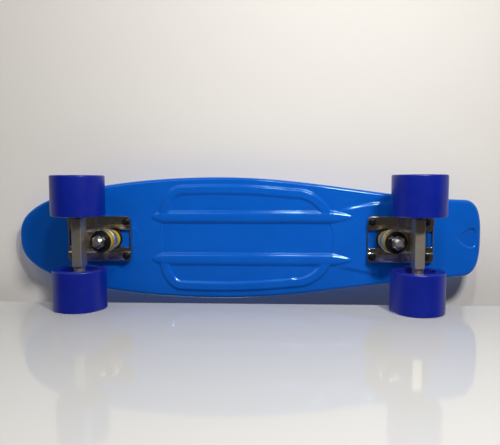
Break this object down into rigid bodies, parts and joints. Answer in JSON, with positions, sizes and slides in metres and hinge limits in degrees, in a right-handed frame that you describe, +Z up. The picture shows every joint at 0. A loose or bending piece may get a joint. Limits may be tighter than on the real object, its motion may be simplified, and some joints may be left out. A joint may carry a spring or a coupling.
{
  "type": "skateboard",
  "caption": "Short moulded-plastic cruiser skateboard with a ribbed underside, kicked tail, sprung steering trucks and free-rolling wheels.",
  "frame": {"origin": "on the ground under the middle of the deck's length, wheels standing on z = 0", "axes": "+X to the nose, +Y to the rider's left, +Z up"},
  "size_m": [0.575, 0.1524, 0.1066],
  "materials": {
    "deck_plastic": "gloss moulded polypropylene, bright blue",
    "wheel_urethane": "satin cast urethane, royal blue",
    "bushing_urethane": "semi-translucent urethane, yellow",
    "polished_casting": "polished casting",
    "bright_nut": "bright plated",
    "steel": "turned steel",
    "bearing_shield": "pressed steel shield",
    "black_fastener": "black zinc",
    "cup_plastic": "black moulded plastic"
  },
  "bodies": {
    "board": {"deck": "deck_plastic", "front_baseplate": "polished_casting", "front_board_side_bushing": "bushing_urethane", "front_board_side_cup_washer": "black_fastener", "front_kingpin": "steel", "front_kingpin_nut": "bright_nut", "front_mounting_bolt_1": "black_fastener", "front_mounting_bolt_2": "black_fastener", "front_mounting_bolt_3": "black_fastener", "front_mounting_bolt_4": "black_fastener", "front_mounting_nut_1": "black_fastener", "front_mounting_nut_2": "black_fastener", "front_mounting_nut_3": "black_fastener", "front_mounting_nut_4": "black_fastener", "front_pivot_cup": "cup_plastic", "front_road_side_bushing": "bushing_urethane", "front_road_side_cup_washer": "black_fastener", "rear_baseplate": "polished_casting", "rear_board_side_bushing": "bushing_urethane", "rear_board_side_cup_washer": "black_fastener", "rear_kingpin": "steel", "rear_kingpin_nut": "bright_nut", "rear_mounting_bolt_1": "black_fastener", "rear_mounting_bolt_2": "black_fastener", "rear_mounting_bolt_3": "black_fastener", "rear_mounting_bolt_4": "black_fastener", "rear_mounting_nut_1": "black_fastener", "rear_mounting_nut_2": "black_fastener", "rear_mounting_nut_3": "black_fastener", "rear_mounting_nut_4": "black_fastener", "rear_pivot_cup": "cup_plastic", "rear_road_side_bushing": "bushing_urethane", "rear_road_side_cup_washer": "black_fastener"},
    "front_steering": {"front_hanger": "polished_casting", "front_axle": "steel", "front_left_race_stack": "steel", "front_left_axle_nut": "steel", "front_right_race_stack": "steel", "front_right_axle_nut": "steel"},
    "front_left_roller": {"front_left_wheel": "wheel_urethane", "front_left_outboard_bearing": "bearing_shield", "front_left_inboard_bearing": "bearing_shield"},
    "front_right_roller": {"front_right_wheel": "wheel_urethane", "front_right_outboard_bearing": "bearing_shield", "front_right_inboard_bearing": "bearing_shield"},
    "rear_steering": {"rear_hanger": "polished_casting", "rear_axle": "steel", "rear_left_race_stack": "steel", "rear_left_axle_nut": "steel", "rear_right_race_stack": "steel", "rear_right_axle_nut": "steel"},
    "rear_left_roller": {"rear_left_wheel": "wheel_urethane", "rear_left_outboard_bearing": "bearing_shield", "rear_left_inboard_bearing": "bearing_shield"},
    "rear_right_roller": {"rear_right_wheel": "wheel_urethane", "rear_right_outboard_bearing": "bearing_shield", "rear_right_inboard_bearing": "bearing_shield"}
  },
  "joints": [
    {"name": "front_steer", "type": "hinge", "parent": "board", "child": "front_steering", "pos_m": [0.19585, 0, 0.0695], "axis": [0.8827, 0, 0.4699], "range_deg": [-12, 12], "stiffness_Nm_per_rad": 20, "deforming": ["front_board_side_bushing", "front_road_side_bushing"]},
    {"name": "front_left_spin", "type": "hinge", "parent": "front_steering", "child": "front_left_roller", "pos_m": [0.18885, 0.0532, 0.03], "axis": [0, 1, 0], "continuous": true},
    {"name": "front_right_spin", "type": "hinge", "parent": "front_steering", "child": "front_right_roller", "pos_m": [0.18885, -0.0532, 0.03], "axis": [0, 1, 0], "continuous": true},
    {"name": "rear_steer", "type": "hinge", "parent": "board", "child": "rear_steering", "pos_m": [-0.19985, 0, 0.0695], "axis": [-0.8827, 0, 0.4699], "range_deg": [-12, 12], "stiffness_Nm_per_rad": 20, "deforming": ["rear_board_side_bushing", "rear_road_side_bushing"]},
    {"name": "rear_left_spin", "type": "hinge", "parent": "rear_steering", "child": "rear_left_roller", "pos_m": [-0.19285, 0.0532, 0.03], "axis": [0, 1, 0], "continuous": true},
    {"name": "rear_right_spin", "type": "hinge", "parent": "rear_steering", "child": "rear_right_roller", "pos_m": [-0.19285, -0.0532, 0.03], "axis": [0, 1, 0], "continuous": true}
  ]
}
